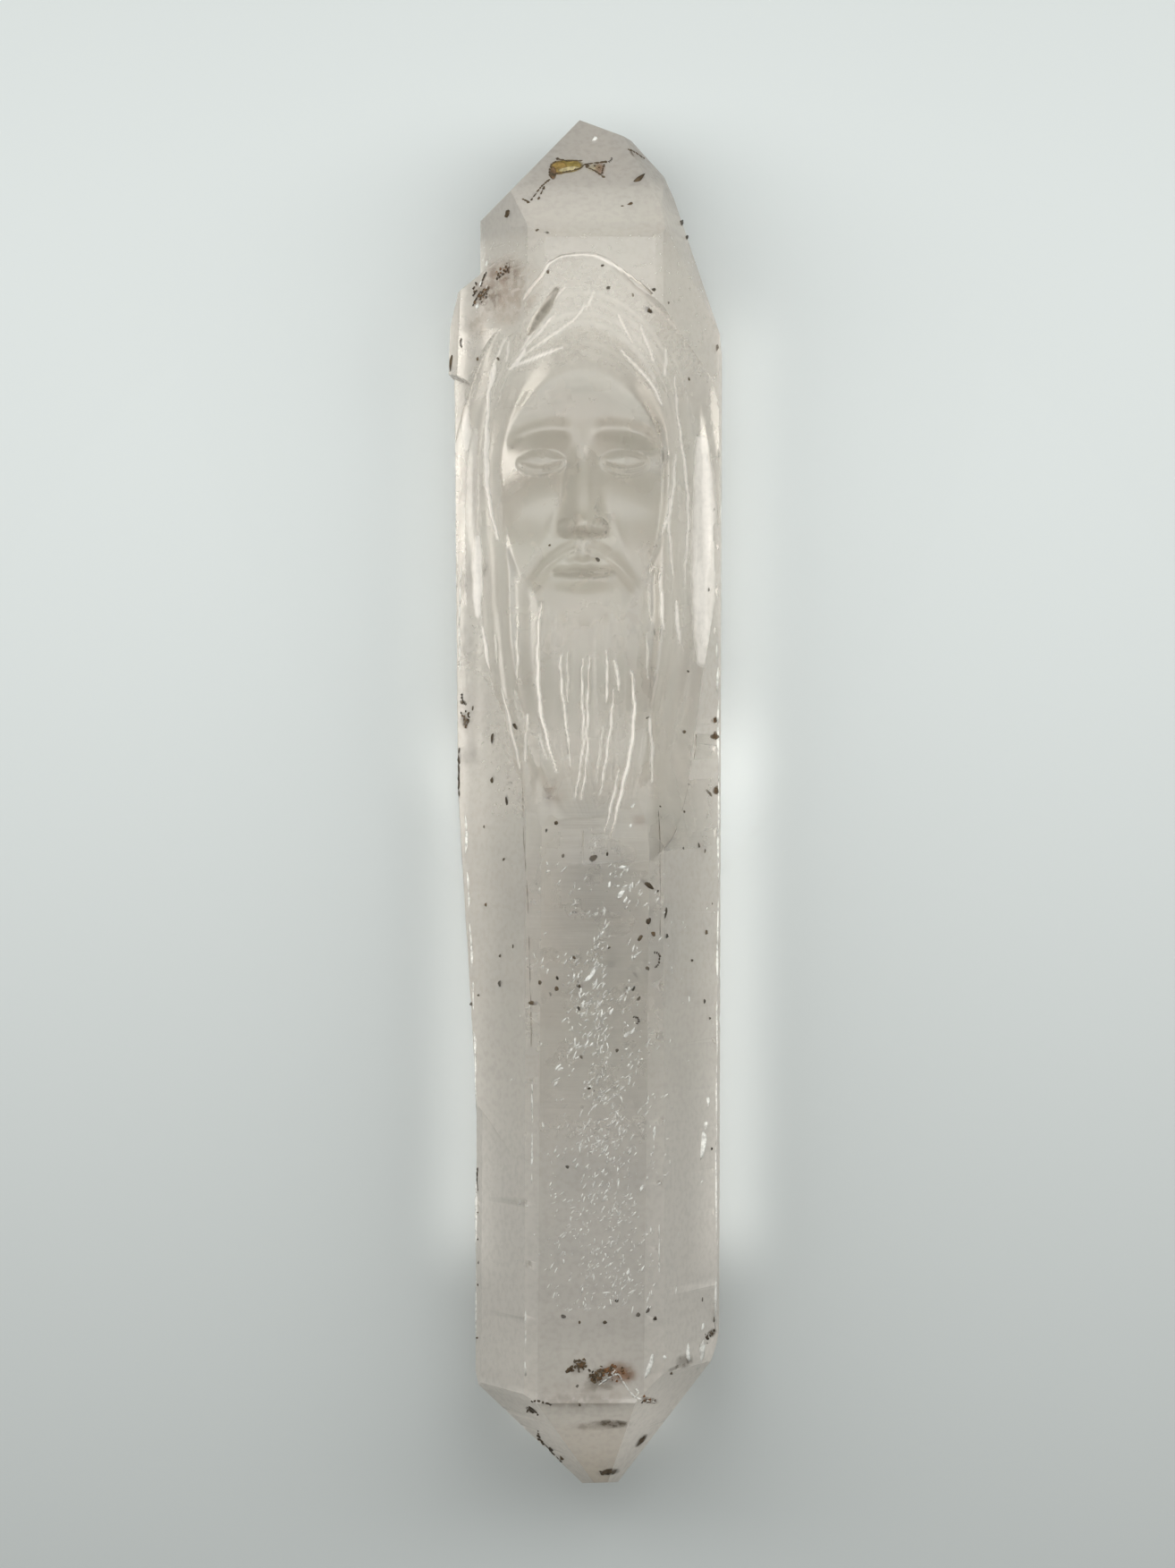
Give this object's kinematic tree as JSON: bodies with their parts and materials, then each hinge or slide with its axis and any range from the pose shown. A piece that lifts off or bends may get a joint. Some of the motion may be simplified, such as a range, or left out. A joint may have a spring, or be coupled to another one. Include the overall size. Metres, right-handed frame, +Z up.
{
  "type": "carved cathedral quartz wand",
  "caption": "Clear quartz wand, pointed at both ends, lying on a prism face, with a bearded long-haired head carved in relief on its upper side and stepped growth along its flanks.",
  "frame": {"origin": "on the resting surface, under the middle of the wand's box", "axes": "+Z up, out of the resting face towards the carved side; +Y along the wand from the foot to the crown end above the carved head; +X to the right when the carving is seen with the crown end up"},
  "size_m": [0.0306, 0.1527, 0.0228],
  "materials": {
    "quartz": "clear quartz, softly polished, with a satin carving, pale veils and small rust-brown inclusions"
  },
  "bodies": {
    "root": {"carved_crystal": "quartz"}
  },
  "joints": []
}
